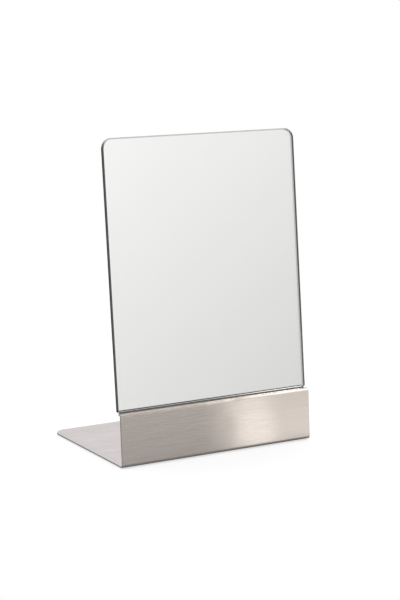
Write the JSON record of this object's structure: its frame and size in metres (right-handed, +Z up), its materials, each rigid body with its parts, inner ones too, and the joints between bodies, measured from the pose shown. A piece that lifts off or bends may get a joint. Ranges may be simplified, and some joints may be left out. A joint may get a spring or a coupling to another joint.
{
  "type": "standing makeup mirror",
  "caption": "Frameless rectangular tabletop mirror leaning on a folded brushed steel stand with a flat base plate and a low front panel.",
  "frame": {"origin": "centre of the footprint, on the surface the foot pads rest on", "axes": "+X across the width to the right as seen by the user, +Y away from the user to the back, +Z up; the mirror faces -Y"},
  "size_m": [0.21, 0.15, 0.3066],
  "materials": {
    "brushed_steel": "fine brushed grain along the width",
    "clear_glass": "clear float glass, polished edges",
    "silvering": "silvered behind the glass",
    "backing_paint": "baked protective paint",
    "backing_film": "woven-look safety film",
    "foam_tape": "closed-cell foam",
    "setting_strip": "soft mid-grey rubber",
    "pad_rubber": "soft matte rubber"
  },
  "bodies": {
    "root": {"folded_stand": "brushed_steel", "mirror_glass": "clear_glass", "silver_coat": "silvering", "back_paint": "backing_paint", "safety_film": "backing_film", "bonding_tape_left": "foam_tape", "bonding_tape_middle": "foam_tape", "bonding_tape_right": "foam_tape", "ledge_strip": "setting_strip", "foot_pad_front_left": "pad_rubber", "foot_pad_front_right": "pad_rubber", "foot_pad_rear_left": "pad_rubber", "foot_pad_rear_right": "pad_rubber"}
  },
  "joints": []
}
